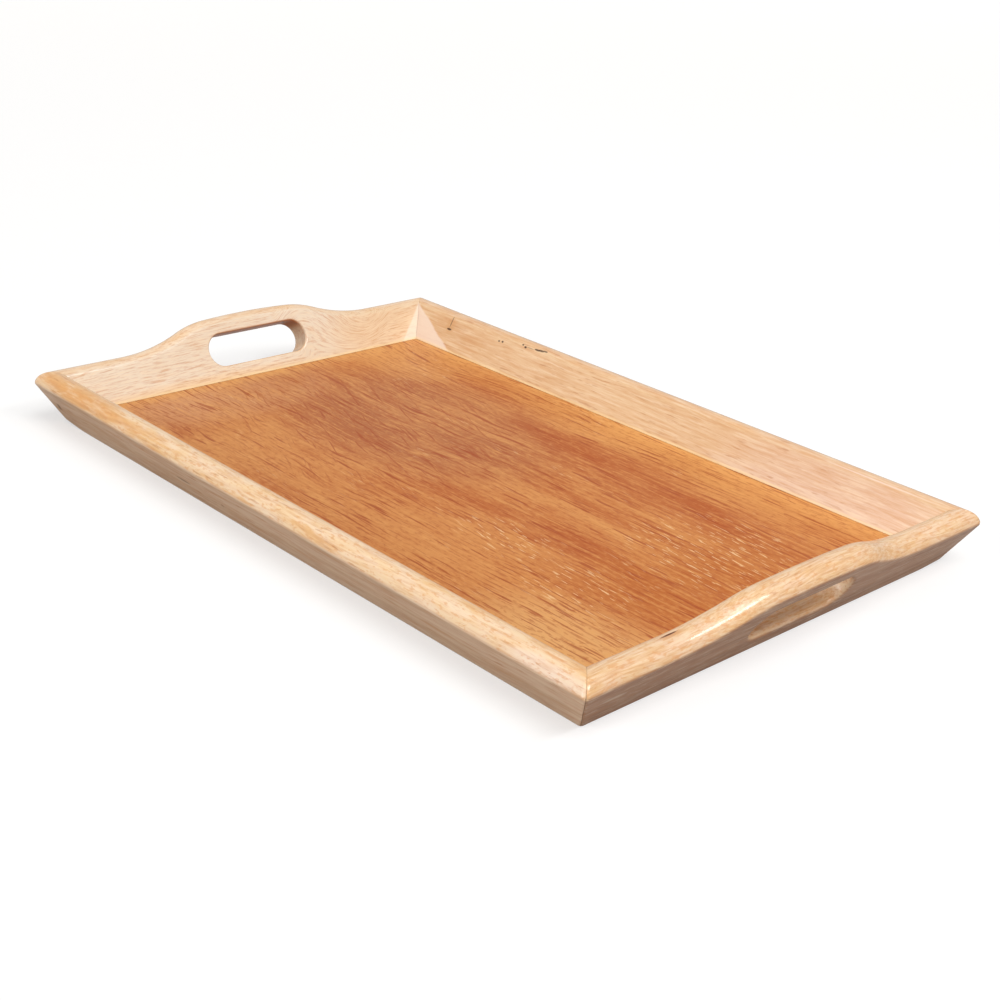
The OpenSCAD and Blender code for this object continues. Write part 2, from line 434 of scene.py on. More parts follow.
def split_cutter(start, end, depth, width):
    """A thin wedge between two places on the surface, in the rail's own frame."""
    a, b = Vector(start), Vector(end)
    run = (b - a).normalized()
    down = Vector(depth)
    across = run.cross(down).normalized() * width / 2
    verts = []
    for i in range(SPLIT_STEPS + 1):
        t = i / SPLIT_STEPS
        swell = math.sin(math.pi * min(max(t, 0.03), 0.97)) ** 0.7
        centre = a.lerp(b, t) + across * (0.9 * math.sin(5 * t))
        mouth = centre - down * 0.6
        reach = across * swell * 1.4
        verts += [mouth - reach, mouth + reach, centre + down * swell]
    faces = tube_faces(SPLIT_STEPS + 1, 3)
    return new_object("split_cutter", mesh_from("split_cutter", verts, faces))


# ---- node graphs ----

class Graph:
    """A material's nodes, with short calls for the ones used here."""

    def __init__(self, name):
        self.material = bpy.data.materials.new(name)
        self.material.use_nodes = True
        self.tree = self.material.node_tree
        self.tree.nodes.clear()

    def node(self, kind, **settings):
        made = self.tree.nodes.new(kind)
        for key, value in settings.items():
            setattr(made, key, value)
        return made

    def put(self, socket, value):
        if isinstance(value, bpy.types.NodeSocket):
            self.tree.links.new(value, socket)
        else:
            socket.default_value = value

    def math(self, operation, a, b=0.0, clamp=False):
        made = self.node("ShaderNodeMath", operation=operation, use_clamp=clamp)
        self.put(made.inputs[0], a)
        self.put(made.inputs[1], b)
        return made.outputs[0]

    def vector_math(self, operation, a, b):
        made = self.node("ShaderNodeVectorMath", operation=operation)
        self.put(made.inputs[0], a)
        self.put(made.inputs[1], b)
        return made.outputs[0]

    def scaled(self, vector, scale, shift=(0, 0, 0)):
        made = self.node("ShaderNodeMapping")
        self.put(made.inputs["Vector"], vector)
        made.inputs["Scale"].default_value = scale
        made.inputs["Location"].default_value = shift
        return made.outputs[0]

    def noise(self, vector, scale, shift=(0, 0, 0), detail=3.0, roughness=0.55, colour=False):
        made = self.node("ShaderNodeTexNoise", noise_dimensions="3D")
        self.put(made.inputs["Vector"], self.scaled(vector, scale, shift))
        made.inputs["Scale"].default_value = 1.0
        made.inputs["Detail"].default_value = detail
        made.inputs["Roughness"].default_value = roughness
        return made.outputs["Color" if colour else "Fac"]

    def span(self, value, low, high, to_low=0.0, to_high=1.0):
        """Maps low..high to to_low..to_high, smoothly and clamped."""
        made = self.node("ShaderNodeMapRange", interpolation_type="SMOOTHSTEP", clamp=True)
        for socket, number in zip(made.inputs, (value, low, high, to_low, to_high)):
            self.put(socket, number)
        return made.outputs[0]

    def mix(self, factor, a, b, blend="MIX"):
        made = self.node("ShaderNodeMix", data_type="RGBA", blend_type=blend, clamp_factor=True)
        self.put(made.inputs["Factor"], factor)
        self.put(made.inputs[6], a)
        self.put(made.inputs[7], b)
        return made.outputs[2]

    def combine(self, x, y, z):
        made = self.node("ShaderNodeCombineXYZ")
        for socket, value in zip(made.inputs, (x, y, z)):
            self.put(socket, value)
        return made.outputs[0]

    def parts(self, vector):
        made = self.node("ShaderNodeSeparateXYZ")
        self.put(made.inputs[0], vector)
        return made.outputs

    def facing(self, axis, low, high):
        """1 where the surface faces along the axis, 0 where it faces away."""
        normal = self.node("ShaderNodeTexCoord").outputs["Normal"]
        made = self.node("ShaderNodeVectorMath", operation="DOT_PRODUCT")
        self.put(made.inputs[0], normal)
        self.put(made.inputs[1], tuple(axis))
        return self.span(made.outputs["Value"], low, high)

    def lacquered(self, colour, rough, normal, coat, coat_rough, specular=0.5):
        shader = self.node("ShaderNodeBsdfPrincipled")
        self.put(shader.inputs["Base Color"], colour)
        self.put(shader.inputs["Roughness"], rough)
        self.put(shader.inputs["Normal"], normal)
        shader.inputs["Coat Weight"].default_value = coat
        shader.inputs["Coat Roughness"].default_value = coat_rough
        shader.inputs["Specular IOR Level"].default_value = specular
        out = self.node("ShaderNodeOutputMaterial")
        self.put(out.inputs["Surface"], shader.outputs[0])
        return self.material

    def blob(self, s, q, place, size, soft=1.0):
        """A soft oval: 1 at its middle, 0 outside it."""
        a = self.math("DIVIDE", self.math("SUBTRACT", s, place[0]), size[0])
        b = self.math("DIVIDE", self.math("SUBTRACT", q, place[1]), size[1])
        far = self.math("ADD", self.math("MULTIPLY", a, a), self.math("MULTIPLY", b, b))
        return self.span(far, 1.0 - soft, 1.0, 1.0, 0.0)

    def bump(self, height, distance, strength, normal=None):
        made = self.node("ShaderNodeBump")
        made.inputs["Strength"].default_value = strength
        made.inputs["Distance"].default_value = distance
        self.put(made.inputs["Height"], height)
        if normal is not None:
            self.put(made.inputs["Normal"], normal)
        return made.outputs[0]


def linear(red, green, blue):
    """A colour given as 0-255 display values, as linear light."""
    def one(value):
        value /= 255
        return value / 12.92 if value <= 0.04045 else ((value + 0.055) / 1.055) ** 2.4
    return (one(red), one(green), one(blue), 1.0)


CREAM = linear(240, 206, 160)
PALE = linear(246, 220, 186)
HONEY = linear(236, 180, 108)
LINE_BROWN = linear(212, 150, 96)
PORE_BROWN = linear(188, 116, 66)
SPECKLE = linear(226, 158, 96)
SEAM_BROWN = linear(120, 82, 52)
# Painted shade: the brown for faces that look down the slope, the hand slots' roofs among them
SLOT_ROOF_PAINTED_SHADE = linear(176, 116, 70)
WEDGE_PALE = linear(250, 232, 216)
# The bead of lacquer at the floor, with its painted highlight
BEAD_GOLD_AND_HIGHLIGHT = linear(255, 226, 168)
DARK_KNOT = linear(70, 40, 22)


def own_coordinates(graph, turn, away):
    """The rail's own coordinates: along it, up its slope and into its stock."""
    place = rail_matrix(turn, away) @ Matrix.Rotation(LEAN, 4, "X")
    back = place.inverted()
    source = graph.node("ShaderNodeTexCoord").outputs["Object"]
    made = graph.node("ShaderNodeMapping", vector_type="POINT")
    graph.put(made.inputs["Vector"], source)
    made.inputs["Rotation"].default_value = back.to_euler("XYZ")
    made.inputs["Location"].default_value = back.to_translation()
    return made.outputs[0]


def rail_matrix(turn, away):
    """From a rail's frame (along, outward, up) to the tray's."""
    return Matrix.Rotation(math.radians(turn), 4, "Z") @ Matrix.Translation((0, away, 0))


WEDGE_TOP = 32 * MM
BEAD_AND_HIGHLIGHT_HEIGHTS = (2.6 * MM, 4.4 * MM)
SEAM_DARK = (0.05 * MM, 0.5 * MM)
KNOT_RELIEF = 2.0
RAIL_COAT = 0.9
RAIL_COAT_ROUGH = 0.15
RAIL_SPECULAR = 0.3
VENEER_COAT_ROUGH = 0.2
VENEER_SPECULAR = 0.2


def with_marks(g, colour, s, faces, marks):
    """Paints soft ovals on the named faces, and gives the relief of the dark knots among them."""
    relief = 0.0
    for face, tint, strength, where, size, soft in marks:
        across, share = faces[face]
        oval = g.math("MULTIPLY", g.blob(s, across, where, size, soft), share)
        colour = g.mix(g.math("MULTIPLY", oval, strength), colour, tint)
        if tint is DARK_KNOT:
            relief = g.math("ADD", relief, g.math("MULTIPLY", oval, KNOT_RELIEF))
    return colour, relief


def wandering(g, place, s, q, shift, look):
    """The rail's coordinates, bent where the grain wanders and swirls."""
    wander = g.noise(place, (7, 22, 22), shift, 2.0, 0.5, colour=True)
    centred = g.vector_math("SUBTRACT", wander, (0.5, 0.5, 0.5))
    amount = (0.0, look["wander"], look["wander"])
    bent = g.vector_math("ADD", place, g.vector_math("MULTIPLY", centred, amount))
    if "swirl" in look:
        bent = swirled(g, bent, s, q, look["swirl"])
    return bent


def growth_rings(g, bent, look):
    """A wave over the rings about a pith outside the stock."""
    run, up, into = g.parts(g.scaled(bent, (look["runout"], 1, 1), look["pith"]))
    squares = g.math("ADD", g.math("MULTIPLY", up, up), g.math("MULTIPLY", into, into))
    far = g.math("SQRT", squares)
    return g.math("SINE", g.math("MULTIPLY", g.math("ADD", far, run), 2 * math.pi / look["ring"]))


def rail_layers(g, bent, shift, seed, fine):
    """The noises that a rail's colour and relief are made of."""
    return {
        "clouds": g.noise(bent, (9, 34, 34), shift, 3.0, 0.55),
        "mottle": g.noise(bent, (45, 130, 130), shift, 4.0, 0.65),
        "flecks": g.noise(bent, (170, 420, 420), shift, 2.0, 0.6),
        "fibre": g.noise(bent, (22 * fine, 340 * fine, 340 * fine), shift, 4.0, 0.65),
        "streak": g.noise(bent, (38 * fine, 330 * fine, 330 * fine), shift, 2.0, 0.5),
        "bands": g.noise(bent, (5, 150, 150), shift, 3.0, 0.6),
        "pores": g.noise(bent, (120, 700, 700), shift, 1.0, 0.5),
        "patches": g.noise(bent, (16, 75, 75), (seed, seed, seed), 3.0, 0.6),
        "waves": g.noise(bent, (18, 60, 60), shift, 2.0, 0.5),
    }


def ground_colour(g, layers, crown, outside, look):
    """The wood's broad colours, on the inner face, the crown and the outer face."""
    colour = g.mix(g.span(layers["clouds"], 0.35, 0.65), look["base"], look["second"])
    mottled = g.span(layers["mottle"], 0.38, 0.66)
    crown_colour = g.mix(mottled, look["crown"], look["crown_second"])
    honey = g.math("MULTIPLY", g.span(layers["patches"], 0.5, 0.64), look["honey"])
    crown_colour = g.mix(honey, crown_colour, HONEY)
    colour = g.mix(crown, colour, crown_colour)
    banded = g.span(layers["bands"], 0.4, 0.62)
    return g.mix(outside, colour, g.mix(banded, look["outer"], look["outer_second"]))


def grain_colour(g, colour, layers, wave, crown, look):
    """Lays rings, fibres, speckles, streaks and pores over the broad colours."""
    fibre, clouds = layers["fibre"], layers["clouds"]
    pale = g.math("MULTIPLY", g.span(layers["mottle"], 0.5, 0.7), look["pale"])
    colour = g.mix(pale, colour, PALE)
    rings = g.math("MULTIPLY", g.span(wave, 0.1, 1.0), look["ring_depth"])
    colour = g.mix(rings, colour, LINE_BROWN)
    colour = g.mix(g.math("MULTIPLY", g.span(fibre, 0.46, 0.7), look["fibre"]), colour, LINE_BROWN)
    colour = g.mix(g.math("MULTIPLY", g.span(fibre, 0.5, 0.32), look["fibre"]), colour, PALE)
    speckled = g.math("MULTIPLY", crown, look["speckle"])
    speckle = g.math("MULTIPLY", g.span(layers["flecks"], 0.52, 0.68), speckled)
    colour = g.mix(speckle, colour, SPECKLE)
    thinned = g.span(clouds, 0.4, 0.6, 0.3, 1.0)
    lines = g.math("MULTIPLY", g.span(layers["streak"], 0.6, 0.7), thinned)
    colour = g.mix(g.math("MULTIPLY", lines, look["streak"]), colour, PORE_BROWN)
    dots = g.math("MULTIPLY", g.span(layers["pores"], 0.64, 0.72), look["pore"])
    return g.mix(dots, colour, PORE_BROWN), dots


def mitre_colour(g, colour, section, half, inside, mottle, wedges):
    """Pale wedges beside the mitres, a bead of lacquer with a painted highlight along the floor,
    and dark seams.
    """
    s, q, d = section
    up, into = g.math("MULTIPLY", q, math.cos(LEAN)), g.math("MULTIPLY", d, math.sin(LEAN))
    outward = g.math("SUBTRACT", up, into)
    to_mitre = g.math("SUBTRACT", g.math("ADD", outward, half), g.math("ABSOLUTE", s))
    for side, reach, strength in wedges:
        # wide at the floor and closing towards the rim
        lean_in = g.math("ADD", to_mitre, g.math("MULTIPLY", q, reach / WEDGE_TOP))
        ragged = g.math("MULTIPLY", g.math("SUBTRACT", mottle, 0.5), 0.2 * reach)
        lean_in = g.math("ADD", lean_in, ragged)
        wedge = g.span(lean_in, reach, 1.06 * reach + 2 * MM, 1.0, 0.0)
        half_side = g.math("GREATER_THAN", g.math("MULTIPLY", s, side), 0.0)
        share = g.math("MULTIPLY", inside, strength)
        wedge = g.math("MULTIPLY", g.math("MULTIPLY", wedge, half_side), share)
        colour = g.mix(wedge, colour, WEDGE_PALE)
    # Partly a bead of lacquer and partly a painted highlight: a pale gold line along the foot of
    # the inner face
    bead_and_highlight = g.math("MULTIPLY", g.span(q, *BEAD_AND_HIGHLIGHT_HEIGHTS, 1.0, 0.0), inside)
    colour = g.mix(g.math("MULTIPLY", bead_and_highlight, 0.55), colour, BEAD_GOLD_AND_HIGHLIGHT)
    dark = g.span(d, 0.0, 0.2 * STOCK, 0.5, 0.2)
    seam = g.math("MULTIPLY", g.span(to_mitre, *SEAM_DARK, 1.0, 0.0), dark)
    return g.mix(seam, colour, SEAM_BROWN)


def rail_wood(name, turn, half, away, seed, look):
    """Pale lacquered hardwood with its grain along the rail."""
    g = Graph(name)
    place = own_coordinates(g, turn, away)
    s, q, d = g.parts(place)
    shift = (seed * 3.7, seed * 1.9, seed * 5.3)
    axes = rail_matrix(turn, away).to_3x3() @ Matrix.Rotation(LEAN, 3, "X")
    crown = g.facing(axes.col[1], 0.25, 0.8)
    inside = g.facing(axes.col[2], 0.5, 0.95)
    outside = g.facing(-axes.col[2], 0.6, 0.95)
    # Painted shade: a mask of the faces that look down the rail's slope
    down_slope_painted_shade = g.facing(-axes.col[1], 0.3, 0.9)
    faces = {"in": (q, inside), "out": (q, outside), "crown": (d, crown)}

    bent = wandering(g, place, s, q, shift, look)
    wave = growth_rings(g, bent, look)
    layers = rail_layers(g, bent, shift, seed, look["fine"])

    colour = ground_colour(g, layers, crown, outside, look)
    colour, _ = with_marks(g, colour, s, faces, look["tints"])
    colour, dots = grain_colour(g, colour, layers, wave, crown, look)
    # Painted shade: every face that looks down the slope, the hand slots' roofs among them, is
    # painted brown
    colour = g.mix(down_slope_painted_shade, colour, SLOT_ROOF_PAINTED_SHADE)
    colour, knots = with_marks(g, colour, s, faces, look["marks"])
    colour = mitre_colour(g, colour, (s, q, d), half, inside, layers["mottle"], look["wedges"])

    fibre = layers["fibre"]
    relief = g.math("ADD", g.math("MULTIPLY", fibre, 0.6), g.math("MULTIPLY", dots, -0.8))
    relief = g.math("SUBTRACT", relief, knots)
    glossy = g.span(layers["clouds"], 0.3, 0.7, 0.32, 0.42)
    rough = g.math("ADD", g.math("MULTIPLY", fibre, 0.14), glossy)
    normal = g.bump(relief, 0.05 * MM, 0.5)
    normal = g.bump(layers["waves"], 0.35 * MM, 0.25, normal)
    return g.lacquered(colour, rough, normal, RAIL_COAT, RAIL_COAT_ROUGH, RAIL_SPECULAR)


def swirled(g, vector, s, q, swirl):
    """Bends the grain round a place, as it runs round a knot."""
    (where, size, turn) = swirl
    oval = g.blob(s, q, where, size, 1.0)
    made = g.node("ShaderNodeVectorRotate", rotation_type="Z_AXIS")
    g.put(made.inputs["Vector"], vector)
    made.inputs["Center"].default_value = (where[0], where[1], 0)
    g.put(made.inputs["Angle"], g.math("MULTIPLY", oval, turn))
    return made.outputs[0]


VENEER_TAN = linear(212, 140, 74)
VENEER_RED = linear(184, 98, 42)
VENEER_PINK_AND_REFLECTION = linear(174, 104, 62)
VENEER_ORANGE = linear(228, 166, 96)
VENEER_DASH = linear(160, 62, 18)
VENEER_FLECK = linear(246, 208, 156)
STROKE_TURN = math.radians(20)
FLECK_TURN = math.radians(5)
# Between these places along the tray, the grain grows calmer
CALMER = (-0.08, 0.06)
# By layer: the dark lines' span and share, then the pale lights'
VENEER_GRAIN = (
    ("fibre", (0.50, 0.70), 0.55, (0.50, 0.34), 0.45),
    ("grainy", (0.52, 0.68), 0.4, (0.48, 0.34), 0.25),
)
# How strong the paler edge is: partly the veneer's own tone, partly a painted reflection of the
# rails
EDGE_SHARE = 0.65


def turned(g, vector, angle):
    """The coordinates turned about Z."""
    made = g.node("ShaderNodeVectorRotate", rotation_type="Z_AXIS")
    g.put(made.inputs["Vector"], vector)
    made.inputs["Angle"].default_value = angle
    return made.outputs[0]


def veneer_layers(g, source, bent, shift, seed):
    """The noises that the veneer's colour and relief are made of."""
    return {
        "clouds": g.noise(bent, (6, 22, 1), shift, 4.0, 0.6),
        "bands": g.noise(bent, (3, 60, 1), shift, 3.0, 0.6),
        "fibre": g.noise(bent, (17, 300, 1), shift, 4.0, 0.65),
        "grainy": g.noise(bent, (150, 340, 1), shift, 2.0, 0.6),
        "dash": g.noise(bent, (38, 450, 1), shift, 1.0, 0.5),
        "long_dash": g.noise(bent, (21, 300, 1), shift, 1.0, 0.5),
        "stroke": g.noise(turned(g, bent, STROKE_TURN), (20, 330, 1), shift, 1.5, 0.5),
        "fleck": g.noise(turned(g, bent, FLECK_TURN), (72, 620, 1), (seed + 9, seed, 0), 1.0, 0.5),
        "cluster": g.noise(source, (13, 26, 1), (seed + 5, seed, 0), 2.0, 0.5),
    }


def veneer_ground(g, x, y, layers, look):
    """The veneer's broad colours: clouds, bands, patches and a paler edge, partly the veneer's own
    tone and partly a painted reflection of the rails.
    """
    clouds = layers["clouds"]
    colour = g.mix(g.span(clouds, 0.36, 0.64), look["base"], look["second"])
    bands = g.math("MULTIPLY", g.span(layers["bands"], 0.42, 0.68), 0.5)
    colour = g.mix(bands, colour, VENEER_TAN)
    for tint, strength, where, size in look["patches"]:
        broken = g.span(clouds, 0.3, 0.6, 0.5, 1.0)
        oval = g.math("MULTIPLY", g.blob(x, y, where, size, 1.0), broken)
        colour = g.mix(g.math("MULTIPLY", oval, strength), colour, tint)
    # A paler orange band along every edge: partly the veneer's own tone, partly a painted
    # reflection of the rails
    near_edge = edge_share(g, x, y, look["half"], look["edge"])
    return g.mix(near_edge, colour, VENEER_ORANGE)


def veneer_grain(g, colour, layers, look):
    """Fine lines and lights along the grain."""
    deep = look["depth"]
    for layer, line_span, line_share, light_span, light_share in VENEER_GRAIN:
        noise_value = layers[layer]
        lines = g.math("MULTIPLY", g.span(noise_value, *line_span), line_share * deep)
        colour = g.mix(lines, colour, look["line"])
        lights = g.math("MULTIPLY", g.span(noise_value, *light_span), light_share * deep)
        colour = g.mix(lights, colour, look["light"])
    return colour


def vessel_marks(g, x, y, layers, look):
    """Where the dark dashes are, and the strokes that cross the grain."""
    dense = g.span(layers["clouds"], 0.35, 0.65, 0.45, 1.0)
    short = g.math("MULTIPLY", g.span(layers["dash"], 0.61, 0.67), dense)
    marks = g.math("MULTIPLY", short, 0.7)
    long = g.math("MULTIPLY", g.span(layers["long_dash"], 0.63, 0.68), 0.8)
    marks = g.math("MAXIMUM", marks, long)
    for where, size in look["strokes"]:
        area = g.blob(x, y, where, size, 1.0)
        crossing = g.math("MULTIPLY", g.span(layers["stroke"], 0.61, 0.67), area)
        marks = g.math("MAXIMUM", marks, g.math("MULTIPLY", crossing, 0.75))
    return marks


def fleck_marks(g, x, y, layers, look):
    """Where the pale flecks are."""
    gather = g.math("MULTIPLY", g.span(layers["cluster"], 0.52, 0.66), 0.4)
    for where, size in look["clusters"]:
        gather = g.math("MAXIMUM", gather, g.blob(x, y, where, size, 1.0))
    return g.math("MULTIPLY", g.span(layers["fleck"], 0.63, 0.68), gather)


def veneer_wood(name, seed, look):
    """Reddish-brown veneer with its grain along X, dashed with vessels and flecks."""
    g = Graph(name)
    source = g.node("ShaderNodeTexCoord").outputs["Object"]
    x, y, _ = g.parts(source)
    shift = (seed * 2.3, seed * 4.1, seed)
    wander = g.noise(source, (9, 17, 1), shift, 2.0, 0.5, colour=True)
    centred = g.vector_math("SUBTRACT", wander, (0.5, 0.5, 0.5))
    amount = g.combine(0.0, g.span(x, *CALMER, look["wander"], 0.3 * look["wander"]), 0.0)
    bent = g.vector_math("ADD", source, g.vector_math("MULTIPLY", centred, amount))
    layers = veneer_layers(g, source, bent, shift, seed)

    colour = veneer_ground(g, x, y, layers, look)
    colour = veneer_grain(g, colour, layers, look)
    marks = vessel_marks(g, x, y, layers, look)
    colour = g.mix(g.math("MULTIPLY", marks, look["dash"]), colour, VENEER_DASH)
    flecks = fleck_marks(g, x, y, layers, look)
    colour = g.mix(g.math("MULTIPLY", flecks, look["fleck"]), colour, VENEER_FLECK)

    relief = g.math("SUBTRACT", g.math("MULTIPLY", layers["fibre"], 0.5), marks)
    glossy = g.span(layers["clouds"], 0.3, 0.7, 0.34, 0.46)
    rough = g.math("ADD", glossy, g.math("MULTIPLY", layers["fibre"], 0.1))
    normal = g.bump(relief, 0.04 * MM, 0.5)
    return g.lacquered(colour, rough, normal, look["coat"], VENEER_COAT_ROUGH, VENEER_SPECULAR)


def edge_share(g, x, y, half, width):
    """1 at the sheet's visible edge, 0 further in."""
    from_x = g.math("SUBTRACT", half[0], g.math("ABSOLUTE", x))
    from_y = g.math("SUBTRACT", half[1], g.math("ABSOLUTE", y))
    near = g.math("MINIMUM", from_x, from_y)
    return g.span(near, 0.0, width, EDGE_SHARE, 0.0)


def plain_wood(name, colour, dark, across):
    """Wood that is mostly out of sight: fibres, bands and pores."""
    g = Graph(name)
    source = g.node("ShaderNodeTexCoord").outputs["Object"]
    fibre = g.noise(source, across, (3, 1, 2), 3.0, 0.6)
    bands = g.noise(source, tuple(v / 12 for v in across), (1, 5, 2), 2.0, 0.5)
    mixed = g.mix(g.span(bands, 0.35, 0.65, 0.0, 0.5), colour, dark)
    mixed = g.mix(g.span(fibre, 0.5, 0.75, 0.0, 0.6), mixed, dark)
    shader = g.node("ShaderNodeBsdfPrincipled")
    g.put(shader.inputs["Base Color"], mixed)
    g.put(shader.inputs["Roughness"], g.span(fibre, 0.3, 0.7, 0.55, 0.75))
    g.put(shader.inputs["Normal"], g.bump(fibre, 0.05 * MM, 0.5))
    out = g.node("ShaderNodeOutputMaterial")
    g.put(out.inputs["Surface"], shader.outputs[0])
    return g.material


# ---- the rails ----

def spot(face, s, q, long, high, tint=DARK_KNOT, strength=0.9, soft=0.6):
    """A soft oval on a face: its middle and half sizes in millimetres, and its tint."""
    return face, tint, strength, (s * MM, q * MM), (long * MM, high * MM), soft


# In a look: the grain's wander and the growth rings, two colours for each face, the shares of
# honey to pore, the fibres' fineness, wedges, tints under the grain, and marks over it
OUTER_TAN = linear(238, 208, 178)
OUTER_DARK = linear(222, 186, 152)
# Painted shade: darker copies of the outer colours for the right rail's outer face, which lies in
# shade
RIGHT_OUT_PAINTED_SHADE = linear(208, 165, 130)
RIGHT_OUT_DARK_PAINTED_SHADE = linear(180, 131, 96)
CROWN_CREAM = linear(246, 212, 168)
CROWN_PINK = linear(248, 218, 186)

FRONT_LOOK = {
    "wander": 0.010, "runout": 0.08, "pith": (0, 0.06, 0.07), "ring": 6 * MM, "ring_depth": 0.12,
    "base": CREAM, "second": PALE, "crown": CROWN_CREAM, "crown_second": CROWN_PINK,
    "outer": OUTER_TAN, "outer_second": OUTER_DARK, "honey": 0.6, "speckle": 0.5, "pale": 0.4,
    "fibre": 0.45, "streak": 0.45, "pore": 0.12, "fine": 1.4, "wedges": [],
    "tints": [
        spot("crown", 250, 12, 80, 15, linear(230, 172, 104), 0.8, 1.0),
        spot("crown", 225, 6, 90, 6, linear(232, 160, 88), 0.4, 1.0),
        # Painted sheen: a pinkish-white patch on the crown's outer side near the corner
        spot("crown", -272, 4, 45, 6, linear(252, 232, 220), 0.5, 1.0),
    ],
    "marks": [
        spot("out", 105, 18, 11, 1.6, linear(120, 90, 64), 0.6, 0.8),
        spot("out", 58.5, 14, 2.5, 1.5, linear(150, 96, 66), 0.5, 0.8),
        spot("out", 281, 19, 2.5, 4.0, linear(110, 76, 48), 0.8, 0.8),
        spot("crown", -272, 13, 14, 1.2, linear(224, 150, 84), 0.6, 1.0),
    ],
}
BACK_LOOK = {
    "wander": 0.008, "runout": 0.05, "pith": (0, 0.08, 0.03), "ring": 7 * MM, "ring_depth": 0.18,
    "base": linear(225, 184, 138), "second": linear(233, 198, 155),
    "crown": linear(232, 188, 146), "crown_second": linear(234, 196, 160),
    "outer": OUTER_TAN, "outer_second": OUTER_DARK, "honey": 0.2, "speckle": 0.1, "pale": 0.25,
    "fibre": 0.5, "streak": 0.45, "pore": 0.15, "fine": 1.3, "wedges": [(-1, 46 * MM, 0.8)],
    "tints": [
        spot("in", 200, 18, 130, 30, linear(228, 190, 160), 0.8, 1.0),
        spot("in", 160, 6, 110, 9, linear(236, 206, 182), 0.6, 1.0),
    ],
    "marks": [
        spot("in", -238, 25, 7, 9, linear(214, 160, 104), 0.5, 1.0),
        spot("in", -237.9, 21.5, 3.4, 1.2), spot("in", -238.3, 28.5, 0.7, 6.5, DARK_KNOT, 0.6),
        spot("in", -174.7, 28.2, 1.2, 0.9), spot("in", -170.4, 28.7, 1.4, 1.1),
        spot("in", -146.4, 33.0, 1.3, 0.9), spot("in", -142.6, 31.7, 1.7, 1.2),
        spot("in", -137, 32.4, 5.5, 0.5, DARK_KNOT, 0.4),
        spot("in", -128.5, 33.2, 4.2, 1.0), spot("in", -124, 33.8, 4.0, 1.1),
        spot("in", -119.8, 34.5, 3.0, 0.9),
        # Painted highlight: a thin pale line along the inner face's top arris
        spot("in", 225, 35.2, 60, 0.8, linear(250, 226, 212), 0.7, 1.0),
    ],
}
LEFT_LOOK = {
    "wander": 0.016, "runout": 0.10, "pith": (0, 0.04, 0.05), "ring": 3.4 * MM, "ring_depth": 0.03,
    "base": linear(238, 219, 193), "second": linear(243, 228, 206),
    "crown": linear(244, 206, 164), "crown_second": linear(249, 220, 190),
    "outer": OUTER_TAN, "outer_second": OUTER_DARK, "honey": 0.3, "speckle": 0.2, "pale": 0.4,
    "fibre": 0.6, "streak": 0.3, "pore": 0.12, "fine": 2.5, "wedges": [(1, 15 * MM, 0.6)],
    "tints": [
        spot("in", 140, 18, 84, 40, linear(238, 203, 160), 0.8, 1.0),
        spot("in", -60, 2, 150, 9, linear(244, 206, 156), 0.7, 1.0),
    ],
    "marks": [],
    "swirl": ((0.085, 0.040), (0.065, 0.045), 0.7),
}
RIGHT_LOOK = {
    "wander": 0.012, "runout": 0.08, "pith": (0, 0.05, 0.06), "ring": 4 * MM, "ring_depth": 0.10,
    "base": CREAM, "second": PALE,
    "crown": linear(237, 197, 150), "crown_second": linear(240, 204, 170),
    "outer": RIGHT_OUT_PAINTED_SHADE, "outer_second": RIGHT_OUT_DARK_PAINTED_SHADE, "honey": 0.4, "speckle": 0.5, "pale": 0.3,
    "fibre": 0.6, "streak": 0.32, "pore": 0.06, "fine": 2.2, "wedges": [],
    "tints": [
        spot("crown", 122, 15.6, 14, 2.5, linear(196, 120, 66), 0.5, 1.0),
        # Painted shade: a darker patch over the near part of the outer face
        spot("out", 150, 16, 80, 26, linear(180, 130, 92), 0.5, 1.0),
        spot("out", 172, 22, 13, 2.2, linear(244, 226, 204), 0.7, 1.0),
        spot("out", 176, 6, 9, 4, linear(160, 112, 78), 0.5, 1.0),
    ],
    "marks": [
        spot("in", -44, 38, 5, 2, linear(120, 66, 40), 0.7, 0.8),
        spot("crown", 121, 16.2, 8, 0.8, linear(96, 44, 16), 0.9, 0.6),
    ],
}


def build_rail(node, turn, seed, look, handle, lifts):
    half, away = (BASE_HALF_W, BASE_HALF_L) if handle else (BASE_HALF_L, BASE_HALF_W)
    piece = new_object(node + "_visual", rail_mesh(node + "_visual", half, handle, lifts))
    if handle:
        cut(piece, slot_cutter())
    for side in (-1, 1):
        for height in DOWEL_HEIGHTS:
            cut(piece, dowel_cutter(half, side, height))
    if node == "right_handle_rail":
        start, end = ((along, *from_section(*SPLIT_SECTION)) for along in SPLIT_ENDS)
        cut(piece, split_cutter(start, end, SPLIT_DEPTH, SPLIT_WIDTH))
    piece.data.transform(rail_matrix(turn, away))
    finish_surface(piece)
    piece.data.materials.clear()
    piece.data.materials.append(rail_wood(node + "_wood", turn, half, away, seed, look))
    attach(piece, "root")
    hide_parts(node)
    return piece


# How far the rails' bottom edges are sanded up at each corner
NEAR_LIFT = 0.0
LEFT_LIFT = 2.2 * MM
BACK_LIFT = 1.0 * MM
RIGHT_LIFT = 1.5 * MM
build_rail("front_rail", 180, 1.0, FRONT_LOOK, False, (NEAR_LIFT, LEFT_LIFT))
build_rail("back_rail", 0, 2.0, BACK_LOOK, False, (BACK_LIFT, RIGHT_LIFT))
build_rail("left_handle_rail", 90, 3.0, LEFT_LOOK, True, (LEFT_LIFT, BACK_LIFT))
build_rail("right_handle_rail", -90, 4.0, RIGHT_LOOK, True, (RIGHT_LIFT, NEAR_LIFT))


# ---- the floor ----

SHEET_STEP = 8 * MM
SHEET_WAVE = 0.10 * MM
WAVE_ALONG = 14
WAVE_ACROSS = 22


